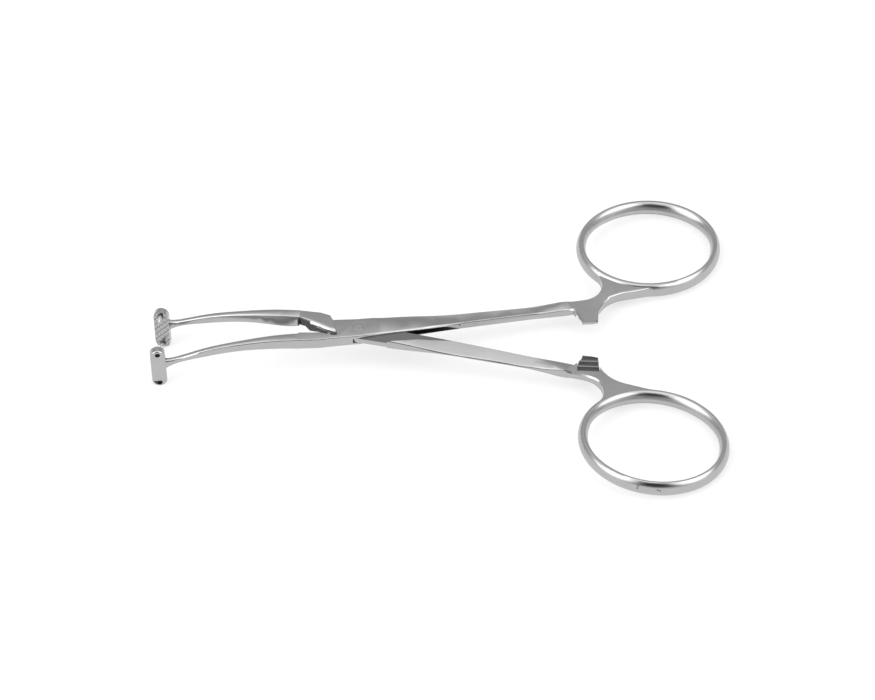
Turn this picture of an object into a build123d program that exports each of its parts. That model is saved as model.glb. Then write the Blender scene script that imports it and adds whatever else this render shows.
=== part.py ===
from build123d import *
import os
from math import atan2, cos, degrees, radians, sin

os.makedirs("parts", exist_ok=True)

# Scalp flap forceps, about 125 mm long, shown open as it lies on a table.
# Two forged halves cross in a box lock. The female half has the near jaw, the far handle and
# the slotted box; the male half passes through the slot and has the far jaw and near handle.
# Each half is drawn flat and open, with the lock's rivet at the origin, its handle toward +X
# and +Y and its jaw toward -X and -Y. The male half is then mirrored across the middle, and
# the whole instrument is tipped until its bars and rings touch the table at Z = 0.
# Lengths are in millimetres and angles in degrees.

# Box lock
lock_thickness = 2.8
lock_half_width = 2.75
neck_thickness = 1.16
neck_half_width = 1.95
neck_side = 2.25
slot_clearance = 0.04
side_clearance = 0.12
wall_start = 1.0
rivet_diameter = 2.2
rivet_clearance = 0.03
rivet_chamfer = 0.08
shoulder_clearance = 0.06
shoulder_reach_far = 5.9
shoulder_reach_near = 4.9
shoulder_angle_far = 22.0
shoulder_angle_near = 18.0
nose_length = 8.2
nose_side = 3.3

# Handles
handle_angle = 12.0
shank_thickness = 1.86
shank_half_width = 1.42
shank_length = 47.0
shank_stations = (3.8, 9.0, 14.0, 19.5, 26.0, 33.0, 40.0, 47.0)
lock_end = shank_stations[0]
shank_taper = 1.65
shank_outer_drop = 0.5
edge_chamfer = 0.32
neck_end = 21.6
ledge_start = 5.8
ledge_run = 12.9

# Ratchets
lug_width = 4.2
lug_reach = 5.45
lug_chamfer = 1.2
rack_length = 5.9
rack_depth = 0.42
rack_gap = 0.1
tooth_pitch = 1.6
tooth_count = 3
tooth_back = 0.35
tooth_land = 0.25

# Finger rings
ring_beyond_shank = 20.75
ring_centre_out = 16.2
ring_outer_length = 32.0
ring_outer_width = 28.8
ring_turn = 4.5
ring_band = 2.1
ring_thickness = 3.5
ring_ridge = 0.3
web_thickness = 2.7
web_chamfer = 0.3

# Jaw arms
arm_root = 12.7
arm_root_offset = 3.6
arm_bend_radius = 72.0
arm_edge = 0.28
arm_stations = (0.0, 0.09, 0.26, 0.48, 0.74, 0.89, 0.955)
arm_widths = (2.4, 2.25, 1.95, 1.5, 1.2, 1.2, 1.5)
arm_heights = (2.8, 2.6, 2.3, 2.0, 1.7, 1.65, 3.0)
arm_flares = (0.15, 0.7, 0.5, 0.2, 0.02, 0.0, 0.0)

# Gripping bars with their pins and holes
bar_radius = 42.9
bar_length = 10.2
bar_width = 3.25
bar_thickness = 1.7
bar_edge = 0.4
bar_lean = 3.1
bar_opening = 10.6
bar_gap_closed = 0.14
pin_spacing = 8.06
pin_diameter = 0.9
pin_length = 2.2
pin_point = 0.9
pin_tip = 0.24
pin_seat = 1.2
hole_clearance = 0.12
serration_pitch = 1.0
serration_depth = 0.16

ring_centre_along = shank_length + ring_beyond_shank
half_opening = degrees(atan2(bar_opening / 2, bar_radius))
closing_angle = 2 * half_opening - degrees(bar_gap_closed / bar_radius)


def turned(point, angle):
    a = radians(angle)
    x, y = point
    return (x * cos(a) - y * sin(a), x * sin(a) + y * cos(a))


def polar(reach, angle):
    return turned((reach, 0), angle)


def flipped(point):
    return (point[0], -point[1])


def on_handle(along, out):
    # A point given along and outward from the handle's axis, in the plan of its half.
    return turned((along, out), handle_angle)


def half_width(along):
    # The handle narrows from the box lock to its waist, quickly at first.
    share = max(1 - along / shank_length, 0)
    return shank_half_width + (lock_half_width - shank_half_width) * share ** shank_taper


def inner_width(along, root):
    # The handle's inner side, which lies nearer the axis on the half with the neck.
    share = max(1 - along / neck_end, 0)
    return half_width(along) - (lock_half_width - root) * share


def face_of(*curves):
    return make_face(Wire(Curve() + list(curves)).edges())


def polygon(points):
    return make_face(Polyline(*points, close=True).edges())


def plate(face, thickness):
    return extrude(face, amount=thickness / 2, both=True)


def arm_drop(reach):
    # Height of the jaw arm's centre: the arm bends down along an arc from its root.
    run = reach - arm_root
    return (arm_bend_radius ** 2 - run ** 2) ** 0.5 - arm_bend_radius


def shank(root):
    # The handle from the box lock to the ratchet lug: eight-sided sections that grow thinner
    # away from the lock and slope down toward their outer side, with the edges eased.
    sections = []
    for along in shank_stations:
        thinned = min((along - lock_end) / (shank_length / 3), 1)
        high = (lock_thickness - (lock_thickness - shank_thickness) * thinned) / 2
        sloped = min(thinned, 4 * (1 - along / shank_length))
        low = high - shank_outer_drop * sloped
        inner = inner_width(along, root)
        outer = half_width(along)
        e = edge_chamfer
        side = [(-inner, high - e), (e - inner, high), (outer - e, low), (outer, low - e)]
        corners = side + [(y, -z) for y, z in reversed(side)]
        frame = Plane(origin=(along, 0, 0), x_dir=(0, 1, 0), z_dir=(1, 0, 0))
        sections.append(frame * polygon(corners))
    return loft(sections)


def lock_edge(root):
    # The line across the handle where the flat box lock ends and the shank begins.
    return [on_handle(lock_end, half_width(lock_end)), on_handle(lock_end, -inner_width(lock_end, root))]


def web_profile():
    # Thickness of the lug and web from the shank to the ring, seen from the side.
    stations = [
        (shank_length, shank_thickness),
        (shank_length + lug_width, shank_thickness),
        (ring_centre_along - ring_outer_length / 2 + 4.5, web_thickness),
        (ring_centre_along, web_thickness),
    ]
    top = [(x, t / 2) for x, t in stations]
    bottom = [(x, -t / 2) for x, t in reversed(stations)]
    return extrude(Plane.XZ * polygon(top + bottom), amount=2 * ring_outer_width, both=True)


def web_blank():
    # Plan of the ratchet lug and the web that spreads into the ring.
    lug_end = shank_length + lug_width
    ring_side = ring_centre_out - ring_outer_width / 2
    start = half_width(shank_length)
    lug = [
        (shank_length, -start),
        (shank_length + 0.45, -start - 0.8),
        (shank_length + lug_chamfer, -lug_reach),
        (lug_end + 0.3, -lug_reach - 0.3),
        (lug_end + 1.0, -lug_reach + 2.4),
    ]
    web_inner = [
        lug[-1],
        (lug_end + 2.5, -0.75),
        (lug_end + 5.1, 1.1),
        (ring_centre_along - 6.0, ring_side - 0.02),
        (ring_centre_along - 1.0, ring_side + 0.02),
    ]
    band = [
        web_inner[-1],
        (ring_centre_along - 1.0, ring_side + ring_band / 2),
        (ring_centre_along - 12.4, ring_centre_out - 7.0),
        (ring_centre_along - 13.2, ring_centre_out - 8.2),
    ]
    web_outer = [
        band[-1],
        (lug_end + 3.75, 6.5),
        (lug_end + 3.55, 4.9),
        (lug_end + 2.6, 3.15),
        (lug_end + 1.2, 2.05),
        (lug_end - 1.0, start + 0.05),
        (shank_length, start),
    ]
    return face_of(
        Polyline(*lug),
        Spline(*web_inner),
        Polyline(*band),
        Spline(*web_outer),
        Line(web_outer[-1], lug[0]),
    )


def web():
    # The lug and web with the edges of their outline eased, above and below.
    blank = plate(web_blank(), 2 * lock_thickness) & web_profile()
    edges = []
    for edge in blank.edges():
        middle = edge.center()
        across = abs((edge @ 0).X - (edge @ 1).X) < 0.01
        on_outline = edge.geom_type == GeomType.BSPLINE or middle.Y < -shank_half_width
        if abs(middle.Z) > shank_thickness / 3 and on_outline and not across:
            edges.append(edge)
    return chamfer(edges, length=web_chamfer)


def finger_ring():
    # The ring's section has a round outer side, a flat above and below and a ridge inside.
    path = Edge.make_ellipse((ring_outer_length - ring_band) / 2, (ring_outer_width - ring_band) / 2)
    half = ring_band / 2
    high = ring_thickness / 2
    flat = 0.3
    section = face_of(
        ThreePointArc((flat, high), (half, 0), (flat, -high)),
        Polyline(
            (flat, -high),
            (-flat, -high),
            (ring_ridge - half, ring_ridge - high),
            (-half, 0),
            (ring_ridge - half, high - ring_ridge),
            (-flat, high),
            (flat, high),
        ),
    )
    frame = Plane(origin=path @ 0, x_dir=(1, 0, 0), z_dir=path % 0)
    ring = sweep(frame * section, path=path)
    return Pos(ring_centre_along, ring_centre_out) * Rot(0, 0, ring_turn) * ring


def ring_core():
    # The space inside the middle line of the ring's band, which the web stays out of.
    face = Ellipse((ring_outer_length - ring_band) / 2, (ring_outer_width - ring_band) / 2)
    place = Pos(ring_centre_along, ring_centre_out) * Rot(0, 0, ring_turn)
    return place * plate(face, 2 * ring_thickness)


def rack_cut(up):
    # The recess across the lug and shank, with sawtooth grooves in its floor. One rack faces
    # up and the other down, and they pass each other with a small gap.
    start = on_handle(shank_length + lug_chamfer, 0)[0] - 0.2
    tip = on_handle(shank_length + lug_chamfer, -lug_reach)[1]
    floor = -rack_gap / 2
    profile = [(tip - 2, floor)]
    for k in range(tooth_count):
        y = tip + tooth_land + k * tooth_pitch
        profile.append((y, floor))
        profile.append((y + tooth_back, floor - rack_depth))
        profile.append((y + tooth_pitch - tooth_land, floor))
    profile.append((tip + rack_length, floor))
    profile.append((tip + rack_length + 0.4, lock_thickness))
    profile.append((tip - 2, lock_thickness))
    frame = Plane(origin=(start, 0, 0), x_dir=(0, 1, 0), z_dir=(1, 0, 0))
    return extrude(frame * polygon([(y, up * z) for y, z in profile]), amount=lug_width + 0.8)


def handle(root, rack_up):
    body = shank(root) + (web() - ring_core()) + finger_ring()
    return Rot(0, 0, handle_angle) * body - rack_cut(rack_up)


def eased(body, on_edge):
    # Chamfers those top and bottom edges of a plate whose middles the test accepts.
    edges = []
    for edge in body.edges():
        middle = edge.center()
        if abs(middle.Z) > 0.1 and middle.X > 0.1 - arm_root and on_edge(middle.X, middle.Y):
            edges.append(edge)
    return chamfer(edges, length=edge_chamfer)


def jaw_arm():
    # The arm tapers and bends from its root to the bar; its inner face leans near the root.
    tip_offset = (bar_opening + bar_thickness) / 2
    sections = []
    for share, width, height, flare in zip(arm_stations, arm_widths, arm_heights, arm_flares):
        reach = arm_root + (bar_radius - arm_root) * share
        offset = arm_root_offset + (tip_offset - arm_root_offset) * share
        half = width / 2
        high = height / 2
        corners = [
            (-half, arm_edge - high),
            (-half, high - arm_edge),
            (arm_edge - half, high),
            (half - arm_edge, high),
            (half, high - arm_edge),
            (half + flare, arm_edge - high),
            (half + flare - arm_edge, -high),
            (arm_edge - half, -high),
        ]
        origin = (-reach, -offset, arm_drop(reach))
        frame = Plane(origin=origin, x_dir=(0, 1, 0), z_dir=(1, 0, 0))
        sections.append(frame * polygon(corners))
    return loft(sections)


def bar_place():
    # From a bar's own frame, with its inner face on Y = 0, to its place on the open jaw.
    lift = arm_drop(bar_radius)
    return Rot(0, 0, half_opening) * Pos(-bar_radius, 0, lift) * Rot(0, -bar_lean, 0)


def gripping_bar():
    # A flat bar with round ends, chequered by crossing grooves on its inner face.
    face = Plane.XZ * (Rot(0, 0, 90) * SlotOverall(bar_length, bar_width))
    bar = extrude(face, amount=bar_thickness)
    bar = fillet(bar.faces().sort_by(Axis.Y)[0].edges(), bar_edge)
    depth = serration_depth
    groove = polygon([(depth, depth), (-depth, 0), (depth, -depth)])
    tool = extrude(Plane.YZ * groove, amount=bar_length, both=True)
    count = int(bar_length / 2 / serration_pitch)
    cuts = []
    for slope in (45, -45):
        for k in range(-count, count + 1):
            cuts.append(Pos(0, 0, k * serration_pitch * 2 ** 0.5) * Rot(0, slope, 0) * tool)
    return bar - cuts


def pin_places():
    return [Pos(0, 0, pin_spacing / 2), Pos(0, 0, -pin_spacing / 2)]


def bar_bores(diameter, depth):
    # Bores from the bar's inner face to the depth, one at each pin place.
    bore = Rot(90, 0, 0) * Cylinder(diameter / 2, depth + 1)
    return [place * Pos(0, (1 - depth) / 2, 0) * bore for place in pin_places()]


def pointed_pin():
    # A round pin, seated in the bar behind its inner face and tapered to a point in front.
    radius = pin_diameter / 2
    profile = [
        (0, -pin_seat),
        (radius, -pin_seat),
        (radius, pin_length - pin_point),
        (pin_tip / 2, pin_length),
        (0, pin_length),
    ]
    return revolve(polygon(profile), axis=Axis.Y)


def jaw_root(inner):
    # The thick root of the jaw, from the box lock's edge round to the points of its inner side.
    outer = arm_root_offset + arm_widths[0] / 2
    return [
        *inner,
        (-arm_root, -arm_root_offset + arm_widths[0] / 2),
        (-arm_root, -outer),
        (-nose_length, -outer + 0.45),
    ]


def nose():
    # The male half's nose beside its shoulder, which closes into the female half's pocket.
    shoulder = polar(shoulder_reach_near + shoulder_clearance, 180 - shoulder_angle_near)
    return [
        shoulder,
        (shoulder[0] - 1.5, shoulder[1] - 0.4),
        (-nose_length, 0.05),
        (-nose_length - 2.2, -1.0),
    ]


def nose_scoop():
    # The hollow at the end of the nose wall, under a slanted edge.
    low = [(-9.95, -0.6), (-10.6, -2.3), (-13.6, -nose_side), (-13.6, -0.6)]
    high = [(-13.4, -0.6), (-13.4, -3.0), (-13.6, -nose_side), (-13.6, -0.6)]
    level = lock_thickness / 2 + 0.05
    return loft([Pos(0, 0, -level) * polygon(low), Pos(0, 0, level) * polygon(high)], ruled=True)


def neck_plan():
    # The flat neck that lies in the slot, from the shoulder to the ledge on the male handle.
    far = polar(shoulder_reach_far + shoulder_clearance, 180 + shoulder_angle_far)
    near = polar(shoulder_reach_near + shoulder_clearance, 180 - shoulder_angle_near)
    clear = [(s, half_width(s) + side_clearance) for s in (ledge_run, neck_end - 2, neck_end)]
    beside = [turned(p, closing_angle - handle_angle) for p in clear]
    ledge = (ledge_start, on_handle(ledge_start, half_width(ledge_start))[1])
    return [
        far,
        near,
        (near[0], lock_half_width + 2),
        (ledge[0] - 2, ledge[1] + 0.6),
        *beside,
        (neck_end, 0),
        (neck_end - 5, -lock_half_width),
        (far[0], -lock_half_width - 1),
    ]


def slot_plan():
    # Everything that the neck sweeps as the instrument closes, with a side clearance.
    gap = side_clearance
    closed = []
    for s in (3, neck_end / 3, neck_end / 2, neck_end - 5, neck_end):
        point = flipped(on_handle(s, -inner_width(s, neck_half_width) - gap))
        closed.append(turned(point, closing_angle))
    reach = shoulder_reach_near + shoulder_clearance + gap
    first = 180 + shoulder_angle_near
    arc = [polar(reach, first + closing_angle * k / 3) for k in (3, 2, 1, 0)]
    side = turned((-wall_start, -neck_side - gap), closing_angle)
    return [
        (-arm_root, lock_half_width + 1),
        (-wall_start, lock_half_width + 1),
        (-wall_start, neck_side),
        *closed,
        (neck_end + 2, lock_half_width),
        (neck_end + 2, -2 * lock_half_width),
        (-wall_start + 0.2, -2 * lock_half_width),
        (-wall_start, side[1]),
        *arc,
        (-arm_root, arc[-1][1]),
    ]


def jaw_with(half, bar):
    return half + jaw_arm() + bar_place() * bar


def female_half():
    far = polar(shoulder_reach_far, 180 - shoulder_angle_far)
    near = polar(shoulder_reach_near, 180 + shoulder_angle_near)
    last = 180 + shoulder_angle_near + closing_angle
    arc = [polar(shoulder_reach_near, last - 7), polar(shoulder_reach_near, last + 2)]
    pocket = [turned(flipped(p), closing_angle) for p in nose()[1:3]]
    pocket = [(x, y - side_clearance) for x, y in pocket]
    cheeks = [
        on_handle(0, lock_half_width),
        far,
        near,
        *arc,
        *jaw_root(pocket),
        (-shoulder_reach_near + 1.1, -lock_half_width - 0.7),
        on_handle(0, -lock_half_width),
        *reversed(lock_edge(lock_half_width)),
    ]
    root = plate(polygon(cheeks), lock_thickness)
    root = eased(root, lambda x, y: y > 2.3 or y < -2.9 or (x > 0 and y < -1.9))
    body = handle(lock_half_width, -1) + root
    body -= plate(polygon(slot_plan()), neck_thickness + 2 * slot_clearance)
    body -= Cylinder(rivet_diameter / 2, 2 * lock_thickness)
    return jaw_with(body, gripping_bar() - bar_bores(pin_diameter + 2 * hole_clearance, bar_thickness + 1))


def male_half():
    far = polar(shoulder_reach_far + shoulder_clearance, 180 + shoulder_angle_far)
    plan = [
        on_handle(0, -neck_half_width),
        (far[0] + 1.5, -neck_side),
        far,
        (far[0] - 0.5, -arm_root_offset),
        *reversed(jaw_root(nose())),
        (-wall_start, neck_side),
        on_handle(0, lock_half_width),
        *lock_edge(neck_half_width),
    ]
    root = plate(polygon(plan), lock_thickness)
    root = eased(root, lambda x, y: y > lock_half_width or y < -2.9)
    body = handle(neck_half_width, 1) + root
    above = (lock_thickness - neck_thickness) / 2
    for up in (1, -1):
        step = plate(polygon(neck_plan()), 2 * above)
        body -= Pos(0, 0, up * (neck_thickness / 2 + above)) * step
    body -= nose_scoop()
    body -= Cylinder(rivet_diameter / 2 + rivet_clearance, 2 * lock_thickness)
    return jaw_with(body, gripping_bar() - bar_bores(pin_diameter, pin_seat))


def lock_rivet():
    rivet = Cylinder(rivet_diameter / 2, lock_thickness)
    ends = rivet.faces().sort_by(Axis.Z)
    return chamfer(ends[0].edges() + ends[-1].edges(), length=rivet_chamfer)


def lowest(shape, tilt):
    points = (Rot(0, tilt, 0) * shape).tessellate(0.005)[0]
    return min(point.Z for point in points)


def resting_tilt():
    # The tilt at which the bars and the rings touch the table together.
    bar = bar_place() * gripping_bar()
    ring = Rot(0, 0, handle_angle) * finger_ring()
    before, after = 4.0, 6.0
    gap_before = lowest(bar, before) - lowest(ring, before)
    for k in range(4):
        gap_after = lowest(bar, after) - lowest(ring, after)
        step = gap_after * (after - before) / (gap_after - gap_before)
        before, gap_before = after, gap_after
        after = after - step
    return after


mirrored = Plane.XZ
male = mirror(male_half(), about=mirrored)
pins = [mirror(bar_place() * place * pointed_pin(), about=mirrored) for place in pin_places()]
flat = {
    "female_half": female_half(),
    "male_half": male,
    "lock_rivet": lock_rivet(),
    "upper_pin": pins[0],
    "lower_pin": pins[1],
}

tilt = resting_tilt()
tipped = {name: Rot(0, tilt, 0) * shape for name, shape in flat.items()}
points = tipped["female_half"].tessellate(0.01)[0]
middle = (min(p.X for p in points) + max(p.X for p in points)) / 2
shift = (-middle, 0, -lowest(flat["female_half"], tilt))
for name, shape in tipped.items():
    placed = Pos(*shift) * shape
    export_step(placed, "parts/" + name + ".step")
    solids = placed.solids()
    print(name, len(solids), placed.is_valid, round(placed.volume, 3))
print("tilt", tilt, "shift", shift, "closing", closing_angle)
print("axis", sin(radians(tilt)), 0, cos(radians(tilt)))
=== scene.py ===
import bpy
import bmesh
from math import atan2, cos, degrees, radians, sin
from mathutils import Matrix, Vector


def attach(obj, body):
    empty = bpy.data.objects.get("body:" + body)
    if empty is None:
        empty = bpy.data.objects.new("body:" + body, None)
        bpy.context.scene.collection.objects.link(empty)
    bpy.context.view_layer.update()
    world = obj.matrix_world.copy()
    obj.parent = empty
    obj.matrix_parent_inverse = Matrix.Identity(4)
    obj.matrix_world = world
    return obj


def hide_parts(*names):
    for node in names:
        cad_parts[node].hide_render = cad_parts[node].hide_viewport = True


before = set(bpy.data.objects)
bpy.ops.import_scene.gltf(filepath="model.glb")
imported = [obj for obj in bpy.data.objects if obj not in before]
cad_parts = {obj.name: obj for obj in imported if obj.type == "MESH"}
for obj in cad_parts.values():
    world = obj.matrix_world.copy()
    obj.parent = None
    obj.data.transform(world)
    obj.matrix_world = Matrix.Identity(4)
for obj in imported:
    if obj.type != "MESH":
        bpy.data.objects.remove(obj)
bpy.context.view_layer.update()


# The two forged halves, of satin stainless steel. Each is drop forged in one piece with its jaw
# arm, lock, handle and ring, then ground, filed and brushed by hand along its length.
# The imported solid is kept, and its loose triangles are merged so that its curves shade smoothly.
class Value:
    # A shader value that Python's operators work on, each through a Math node.
    def __init__(self, nodes, socket):
        self.nodes = nodes
        self.socket = socket

    def math(self, operation, other, swap=False):
        node = self.nodes.new("ShaderNodeMath")
        node.operation = operation
        pair = (other, self) if swap else (self, other)
        for place, value in zip(node.inputs, pair):
            connect(place, value)
        return Value(self.nodes, node.outputs[0])

    def __add__(self, other):
        return self.math("ADD", other)

    def __radd__(self, other):
        return self.math("ADD", other, True)

    def __sub__(self, other):
        return self.math("SUBTRACT", other)

    def __rsub__(self, other):
        return self.math("SUBTRACT", other, True)

    def __mul__(self, other):
        return self.math("MULTIPLY", other)

    def __rmul__(self, other):
        return self.math("MULTIPLY", other, True)


def connect(place, value):
    if isinstance(value, Value):
        place.id_data.links.new(value.socket, place)
    else:
        place.default_value = value


class Finish:
    # The nodes of one material or of the room's light, around the shader that they end in.
    def __init__(self, owner, shader="Principled BSDF"):
        self.owner = owner
        owner.use_nodes = True
        self.nodes = owner.node_tree.nodes
        self.shader = self.nodes[shader]

    def node(self, kind, settings=None, output=0, sockets=None, **named):
        # Adds a node: its settings first, then the values or links of its sockets.
        node = self.nodes.new("ShaderNode" + kind)
        for key, value in (settings or {}).items():
            if key == "stops":
                steps = node.color_ramp.elements
                for index, (place, colour) in enumerate(value):
                    stop = steps[index] if index < 2 else steps.new(place)
                    stop.position = place
                    stop.color = colour
            else:
                setattr(node, key, value)
        for key, value in {**(sockets or {}), **named}.items():
            connect(node.inputs[key], value)
        return Value(self.nodes, node.outputs[output])

    def set(self, **sockets):
        for key, value in sockets.items():
            connect(self.shader.inputs[key.replace("_", " ")], value)


# The instrument's own level frame: millimetres from the middle of the lock's rivet, with the
# rings toward +X, tipped back from the way that it rests on the table.
resting_tilt = radians(4.748784)
rivet_place = Vector((-0.01690971, 0.0, 0.00820375))
millimetres = Matrix.Scale(1000, 4)
to_level = (millimetres @ Matrix.Rotation(-resting_tilt, 4, "Y")
            @ Matrix.Translation(-rivet_place))
from_level = to_level.inverted()
turn_level = to_level.to_3x3()
turn_back = turn_level.inverted()

# The bases of the far bar's pins in the level frame. The steel round each base is darkened as a
# painted shadow, and the near bar's holes across from them are painted dark as shade. The ring's
# ticks are small spots on the male ring's outer edge that are darkened in the steel's colour.
pin_bases = ((-42.79, 5.29, -2.62), (-42.36, 5.23, -10.66))
pin_shadow_radius = 0.00078
ring_ticks = ((59.32, -43.73, 0.83), (59.2, -43.8, 0.3), (63.4, -44.35, 0.5), (63.9, -44.4, 0.35))
tick_radius = 0.0003


def spots(finish, place, centres, radius, core):
    # A mask that is 1 out to the core's share of the radius and fades to 0 at the radius.
    mask = 0.0
    for centre in centres:
        ends = {0: place, 1: from_level @ Vector(centre)}
        gap = finish.node("VectorMath", {"operation": "DISTANCE"}, "Value", ends)
        edge = {"Value": gap, "From Min": radius, "From Max": radius * core}
        mask = mask + finish.node("MapRange", {"interpolation_type": "SMOOTHSTEP"}, sockets=edge)
    return mask


brush_stretch = (50, 1500, 1500)
cloud_scale = 160.0
speck_scale = 2600.0


def brushed(finish, place, grain):
    # Fine grinding lines that run along the piece, slow clouds between them, and fine specks.
    along = finish.node("Mapping", Vector=place, Scale=brush_stretch)
    lines = finish.node("TexNoise", Vector=along, Scale=grain, Detail=3.0, Roughness=0.6)
    cloud = finish.node("TexNoise", Vector=place, Scale=cloud_scale, Detail=4.0, Roughness=0.55)
    speck = finish.node("TexNoise", Vector=place, Scale=speck_scale, Detail=2.0, Roughness=0.5)
    return lines, cloud, speck


cool_tint = 1.012
scratch_depth = 0.00002


def steel(name, shade, rough, grain):
    # Satin steel, brushed where the wheel reaches and duller where it doesn't, with painted shade
    # darkening its recesses and a painted shadow round each pin's base.
    finish = Finish(bpy.data.materials.new(name))
    place = finish.node("TexCoord", output="Object")
    lines, cloud, speck = brushed(finish, place, grain)
    recess_shade = finish.node("Attribute", {"attribute_name": "shade_and_dullness"}, "Fac")
    shadows = spots(finish, place, pin_bases, pin_shadow_radius, 0.8)
    ticks = spots(finish, place, ring_ticks, tick_radius, 0.3)
    # Painted shade: the recesses and a ring round each pin's base are darkened in the colour and
    # made rougher, as are the ring's small ticks.
    shade_and_dullness = (recess_shade + 0.8 * shadows + 0.9 * ticks).math("MINIMUM", 1.0)
    tone = shade * (0.9 + 0.14 * cloud + 0.06 * lines) * (1.0 - 0.82 * shade_and_dullness)
    colour = finish.node("CombineColor", Red=tone, Green=tone, Blue=tone * cool_tint)
    scratches = lines * 0.6 + speck * 0.4
    bumps = finish.node("Bump", Strength=0.06, Distance=scratch_depth, Height=scratches)
    roughness = rough + 0.12 * (cloud - 0.5) + 0.1 * (lines - 0.5) + 0.2 * shade_and_dullness
    finish.set(Base_Color=colour, Roughness=roughness, Normal=bumps, Metallic=1.0)
    return finish.owner


# The ring's band follows an oval in the level frame. Its section runs from the ridge inside to
# the flat's outer edge, as distance from the band's middle line, height, and the angle of the
# normal from straight outward. Beyond that edge the section is an arc.
ring_start = 46
ring_middle = Vector((62.9009, 29.9318))
ring_turn = radians(16.5)
ring_half_length = 14.95
ring_half_width = 13.35
ring_section = ((-1.05, 0.0, 162.0), (-0.7, 1.05, 150.0), (-0.3, 1.75, 115.0), (0.3, 1.75, 68.0))
arc_radius = 2.4167
arc_middle = -1.3667
foot_steps = 3


def beside_ring(point, side):
    # Distance from the middle line of the ring's band, outward, and the way that it is measured.
    away = Vector((point.x, point.y * side)) - ring_middle
    along = away.x * cos(ring_turn) + away.y * sin(ring_turn)
    across = away.y * cos(ring_turn) - away.x * sin(ring_turn)
    turn = atan2(across / ring_half_width, along / ring_half_length)
    for step in range(foot_steps):
        rest = Vector((along - ring_half_length * cos(turn), across - ring_half_width * sin(turn)))
        run = Vector((-ring_half_length * sin(turn), ring_half_width * cos(turn)))
        turn += rest.dot(run) / run.length_squared
    square = Vector((ring_half_width * cos(turn), ring_half_length * sin(turn))).normalized()
    rest = Vector((along - ring_half_length * cos(turn), across - ring_half_width * sin(turn)))
    way_x = square.x * cos(ring_turn) - square.y * sin(ring_turn)
    way_y = square.x * sin(ring_turn) + square.y * cos(ring_turn)
    return rest.dot(square), Vector((way_x, way_y * side, 0))


def section_at(gap):
    # The section's height and the angle of its normal at this distance from the middle line.
    if gap > ring_section[-1][0]:
        reach = min(gap - arc_middle, arc_radius)
        height = (arc_radius ** 2 - reach ** 2) ** 0.5
        return height, degrees(atan2(height, reach))
    for inner, outer in zip(ring_section, ring_section[1:]):
        if gap <= outer[0]:
            share = max((gap - inner[0]) / (outer[0] - inner[0]), 0)
            height, angle = (a + (b - a) * share for a, b in zip(inner[1:], outer[1:]))
            return height, angle


band_reach = 1.2
arc_start = 0.32
arc_slack = 0.07
flat_slack = 0.09


def on_ring(point, side):
    # Whether a point lies on the skin of the ring's band.
    if not side or point.x < ring_start:
        return False
    gap = beside_ring(point, side)[0]
    if abs(gap) > band_reach:
        return False
    if gap > arc_start:
        return abs(Vector((gap - arc_middle, point.z)).length - arc_radius) < arc_slack
    return abs(abs(point.z) - section_at(gap)[0]) < flat_slack


inner_edge_gaps = (-0.9, -0.6)
inner_edge_heights = (1.3, 1.6)
web_start = 58.5
web_run = 6.3
web_half_width = 20
web_height = 1.4
web_gaps = (0.5, 2.6)


def between(value, ends):
    return ends[0] < value < ends[1]


def round_ring(shape, side):
    # Files the ring's inner edges to a softer slope, and the web's end into the ring's round side.
    edge_gap, edge_height = ring_section[1][:2]
    for vert in shape.verts:
        point = to_level @ vert.co
        if point.x < ring_start:
            continue
        gap, way = beside_ring(point, side)
        high = abs(point.z)
        on_web = point.x > web_start and abs(point.y) < web_half_width and high < web_height
        if between(gap, inner_edge_gaps) and between(high, inner_edge_heights):
            point = point + way * (edge_gap - gap)
            point.z *= edge_height / high
        elif on_web and between(gap, web_gaps):
            share = min((point.x - web_start) / web_run, 1)
            arc = (arc_radius ** 2 - high ** 2) ** 0.5 + arc_middle
            point = point + way * min(arc - gap, 0) * share ** 2 * (3 - 2 * share)
        else:
            continue
        vert.co = from_level @ point


def shade_ring(piece, side):
    # Gives the ring's band the even normals of a rounded bar, and the rest weighted ones.
    mesh = piece.data
    normals = [corner.vector.copy() for corner in mesh.corner_normals]
    banded = set()
    for face in mesh.polygons:
        points = [to_level @ mesh.vertices[index].co for index in face.vertices]
        if not all(on_ring(point, side) for point in points):
            continue
        banded.update(face.vertices)
        up = 1 if (to_level @ face.center).z > 0 else -1
        for corner, point in zip(face.loop_indices, points):
            gap, way = beside_ring(point, side)
            angle = radians(section_at(gap)[1])
            if gap > ring_section[-1][0]:
                angle = atan2(point.z, gap - arc_middle) * up
            level = way * cos(angle) + Vector((0, 0, up * sin(angle)))
            normals[corner] = (turn_back @ level).normalized()
    mesh.normals_split_custom_set(normals)
    flats = piece.vertex_groups.new(name="flats")
    flats.add([vert.index for vert in mesh.vertices if vert.index not in banded], 1.0, "REPLACE")
    weighted = piece.modifiers.new("even_shading", "WEIGHTED_NORMAL")
    weighted.keep_sharp = True
    weighted.vertex_group = "flats"


# The plan line of the male jaw's nose, where it passes the near jaw, and its half height.
nose_line = ((-4.72, -1.53), (-6.22, -1.13), (-8.2, -0.05), (-10.4, 1.0), (-12.7, 2.4))
nose_height = 1.4
nose_rounding = 0.0009
line_slack = 0.04


def near_line(point, line):
    # Whether a point lies on the plan line, seen from above.
    for start, end in zip(line, line[1:]):
        run = Vector(end) - Vector(start)
        away = Vector((point.x, point.y)) - Vector(start)
        share = away.dot(run) / run.length_squared
        if -0.02 < share < 1.02 and (away - run * share).length < line_slack:
            return True
    return False


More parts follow.
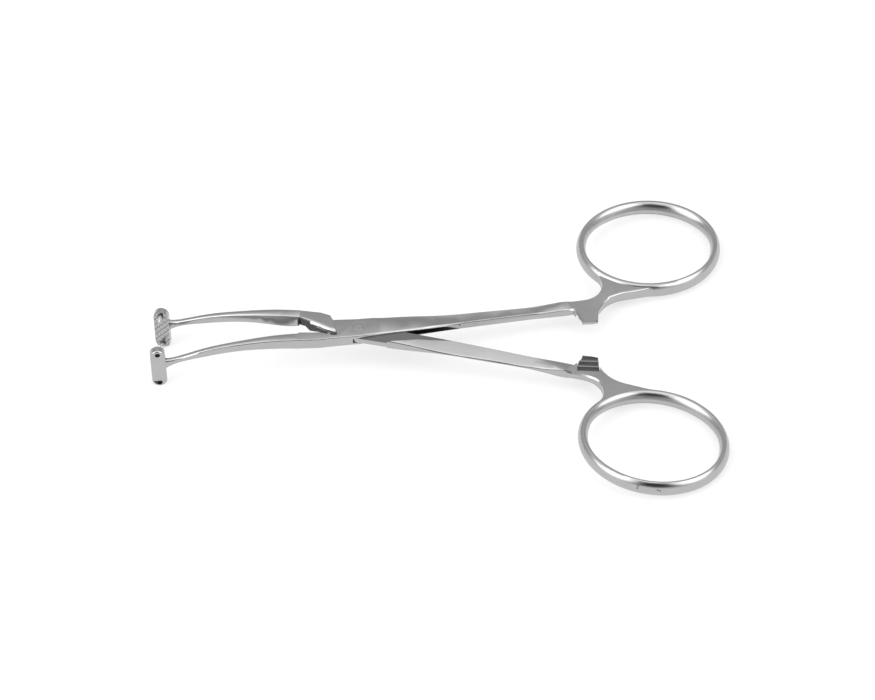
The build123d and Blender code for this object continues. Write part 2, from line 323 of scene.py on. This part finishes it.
def round_nose(shape):
    # Grinds the male jaw's nose round, above and below.
    edges = []
    for edge in shape.edges:
        ends = [to_level @ vert.co for vert in edge.verts]
        if all(abs(abs(end.z) - nose_height) < 0.02 and near_line(end, nose_line) for end in ends):
            edges.append(edge)
    bmesh.ops.bevel(shape, geom=edges, offset=nose_rounding, segments=6, profile=0.5,
                    affect="EDGES", material=-1)


lock_reach = (-8, 24)
neck_height = 0.6
rack_reach = (44, 52)
rack_half_width = 12
groove_heights = (0.06, 0.5)
groove_slopes = (0.1, 0.97)
flank_reach = (-10.3, -4.8)
throat_reach = (-13.0, -9.6)
throat_width = (-0.5, 2.9)
throat_height = 1.3
jaw_end = -40
bore_way = Vector((-0.1226, 0.9925, 0.0))
bore_radius = 0.6


def recess_shade_and_dullness(face, side):
    # How far a face is darkened with painted shade, and how much duller it is: the lock's bearing
    # faces, the ratchet's grooves, the nose's flank, the throat beside it and the near bar's two
    # holes. The darkening stands in for the shade that falls in these recesses; the dullness is
    # where the wheel doesn't reach.
    point = to_level @ face.calc_center_median()
    up = abs((turn_level @ face.normal).normalized().z)
    on_neck = abs(abs(point.z) - neck_height) < 0.03 and up > 0.9999
    # The lock's bearing faces get painted shade, darkest inside the female's slot.
    if on_neck and between(point.x, lock_reach):
        return 1.0 if side > 0 else 0.6
    in_rack = between(point.x, rack_reach) and abs(point.y) < rack_half_width
    # The ratchet's grooves get painted shade, darker on their steep faces.
    if in_rack and between(up, groove_slopes) and between(point.z * side, groove_heights):
        return 0.75 if up < 0.8 else 0.4
    if side < 0:
        on_flank = between(point.x, flank_reach) and near_line(point, nose_line)
        in_throat = between(point.x, throat_reach) and between(point.y, throat_width)
        # The nose's flank and the throat beside it are painted dark as shade.
        if on_flank and up < 0.1:
            return 1.0
        if in_throat and up < 0.95 and point.z < throat_height:
            return 1.0
    elif point.x < jaw_end:
        # The near bar's two holes are painted dark as shade.
        for base_x, base_y, base_z in pin_bases:
            away = point - Vector((base_x, -base_y, base_z))
            if (away - bore_way * away.dot(bore_way)).length < bore_radius:
                return 1.0
    return 0.0


flat_slope = radians(0.2)
hard_slope = radians(47)
rack_slope = radians(15)
ridge_start = 50
ridge_gap = -0.95


def on_ridge(ends, side):
    # Whether an edge runs along the ridge inside the ring, which is rounded.
    return all(end.x > ridge_start and abs(end.z) < 0.2
               and beside_ring(end, side)[0] < ridge_gap for end in ends)


def placed(name, data):
    # A new object at the origin, in the scene.
    thing = bpy.data.objects.new(name, data)
    bpy.context.scene.collection.objects.link(thing)
    return thing


def merged(node, material, side=0):
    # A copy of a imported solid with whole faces, marked hard edges and even shading. The side is 1
    # for the female half, whose ring lies toward +Y, -1 for the male half, and 0 for the rest.
    shape = bmesh.new()
    shape.from_mesh(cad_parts[node].data)
    bmesh.ops.remove_doubles(shape, verts=shape.verts, dist=0.0000005)
    if side:
        round_ring(shape, side)
    banded = {vert for vert in shape.verts if on_ring(to_level @ vert.co, side)}
    loose = [vert for vert in shape.verts if vert not in banded]
    ties = [edge for edge in shape.edges if not banded.issuperset(edge.verts)]
    bmesh.ops.dissolve_limit(shape, angle_limit=flat_slope, verts=loose, edges=ties)
    if side < 0:
        round_nose(shape)
    # Each face's share of painted shade and dullness, which the steel's colour and roughness read.
    shade_and_dullness = shape.faces.layers.float.new("shade_and_dullness")
    for face in shape.faces:
        face.smooth = True
        face[shade_and_dullness] = recess_shade_and_dullness(face, side) if side else 0.0
    for edge in shape.edges:
        ends = [to_level @ vert.co for vert in edge.verts]
        slope = rack_slope if between(ends[0].x, rack_reach) else hard_slope
        hard = edge.calc_face_angle(0.0) >= slope or (side != 0 and on_ridge(ends, side))
        edge.smooth = not hard
    mesh = bpy.data.meshes.new(node + "_finished")
    shape.to_mesh(mesh)
    shape.free()
    mesh.materials.append(material)
    piece = placed(node + "_finished", mesh)
    shade_ring(piece, side)
    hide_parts(node)
    return piece


satin = steel("satin_steel", 0.44, 0.22, 1.0)
for node, body, side in (("female_half", "female", 1), ("male_half", "male", -1)):
    half = merged(node, satin, side)
    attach(half, body)


# The lock's rivet, of the same steel. It is driven through the box's two cheeks and the neck
# between them, and its ends are ground flush.
rivet_finish = steel("rivet_steel", 0.43, 0.28, 2.0)
rivet = merged("lock_rivet", rivet_finish)
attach(rivet, "female")


# The two pointed pins that hold the scalp, of bright hard wire. Each is ground to a point and
# set in a hole of the far gripping bar.
pin_finish = steel("pin_steel", 0.6, 0.24, 2.0)
for node in ("upper_pin", "lower_pin"):
    pin = merged(node, pin_finish)
    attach(pin, "male")


# The table, a plain pale sheet of paper that keeps the instrument's shadow. It shows near white
# to the camera and in the steel, and lights the instrument no more than paper would.
table_half_size = 3.0
paper_white = (0.92, 0.92, 0.92, 1.0)
glow_share = 0.6
table = bmesh.new()
bmesh.ops.create_grid(table, x_segments=1, y_segments=1, size=table_half_size)
table_mesh = bpy.data.meshes.new("table")
table.to_mesh(table_mesh)
table.free()
floor = placed("table", table_mesh)

paper = Finish(bpy.data.materials.new("table_white"))
paper.set(Base_Color=paper_white, Roughness=0.9)
watched = 0.0
for ray in ("Is Camera Ray", "Is Glossy Ray", "Is Transmission Ray"):
    watched = watched + paper.node("LightPath", output=ray)
white = paper.node("Emission", Color=(1.0, 1.0, 1.0, 1.0), Strength=1.0)
sheet = Value(paper.nodes, paper.shader.outputs[0])
cover = paper.node("MixShader", sockets={0: glow_share * watched, 1: sheet, 2: white})
connect(paper.nodes["Material Output"].inputs["Surface"], cover)
table_mesh.materials.append(paper.owner)


# Soft studio light: one weak panel above and in front, in a pale room that is brightest overhead
# and dimmest a little above the horizon. It has a soft box on either side and a dark place
# behind the camera, which give the steel its light and dark streaks.
panel_place = Vector((-0.15, -0.3, 0.75))
lamp = bpy.data.lights.new("overhead", "AREA")
lamp.shape = "RECTANGLE"
lamp.size = 0.7
lamp.size_y = 0.5
lamp.energy = 0.8
panel = placed("overhead", lamp)
panel_turn = panel_place.to_track_quat("Z", "Y").to_matrix().to_4x4()
panel.matrix_world = Matrix.Translation(panel_place) @ panel_turn

studio = bpy.data.worlds.new("studio")
bpy.context.scene.world = studio
room = Finish(studio, "Background")
direction = room.node("TexCoord", output="Generated")


def facing(way):
    # How nearly the light comes from this way: 1 straight on, 0 from the side.
    pair = {0: direction, 1: Vector(way).normalized()}
    return room.node("VectorMath", {"operation": "DOT_PRODUCT"}, "Value", pair)


def ramp(value, greys):
    stops = [(place, (grey, grey, grey, 1.0)) for place, grey in greys]
    return room.node("ValToRGB", {"stops": stops}, Fac=value)


room_greys = ((0.0, 0.8), (0.56, 0.8), (0.67, 0.46), (0.8, 0.63), (0.93, 1.2), (1.0, 1.5))
box_greys = ((0.84, 0.0), (0.93, 2.2))
dark_greys = ((0.8, 1.0), (0.92, 0.02))
overhead = ramp(0.5 * facing((0.05, -0.1, 1.0)) + 0.5, room_greys)
behind_camera = ramp(facing((0.05, -1.0, 0.8)), dark_greys)
left_box = ramp(facing((-0.71, -0.45, 0.57)), box_greys)
right_box = ramp(facing((0.71, -0.41, 0.57)), box_greys)
light = overhead * behind_camera + left_box + right_box
room.set(Color=room.node("CombineColor", Red=light, Green=light, Blue=light), Strength=1.0)


# The camera, fitted to the outlines of both rings in the photograph. It looks down on the
# instrument from in front, with a long lens from well back, so that the view hardly tapers.
azimuth = radians(3.925)
elevation = radians(43.946)
roll = radians(-4.010)
distance = 0.8302
aim_right = -0.000237
aim_up = 0.001567
flat_right = Vector((cos(azimuth), sin(azimuth), 0))
back = Vector((sin(azimuth) * cos(elevation), -cos(azimuth) * cos(elevation), sin(elevation)))
flat_up = back.cross(flat_right)
right = flat_right * cos(roll) + flat_up * sin(roll)
up = flat_up * cos(roll) - flat_right * sin(roll)
centre = right * aim_right + up * aim_up + back * distance
camera_data = bpy.data.cameras.new("camera")
camera = placed("camera", camera_data)
camera.matrix_world = (Matrix.Translation(centre)
                       @ Matrix((right, up, back)).transposed().to_4x4())
camera_data.sensor_width = 36.0
camera_data.lens = 158.27
camera_data.clip_start = 0.01
bpy.context.scene.camera = camera
bpy.context.scene.view_settings.view_transform = "Standard"
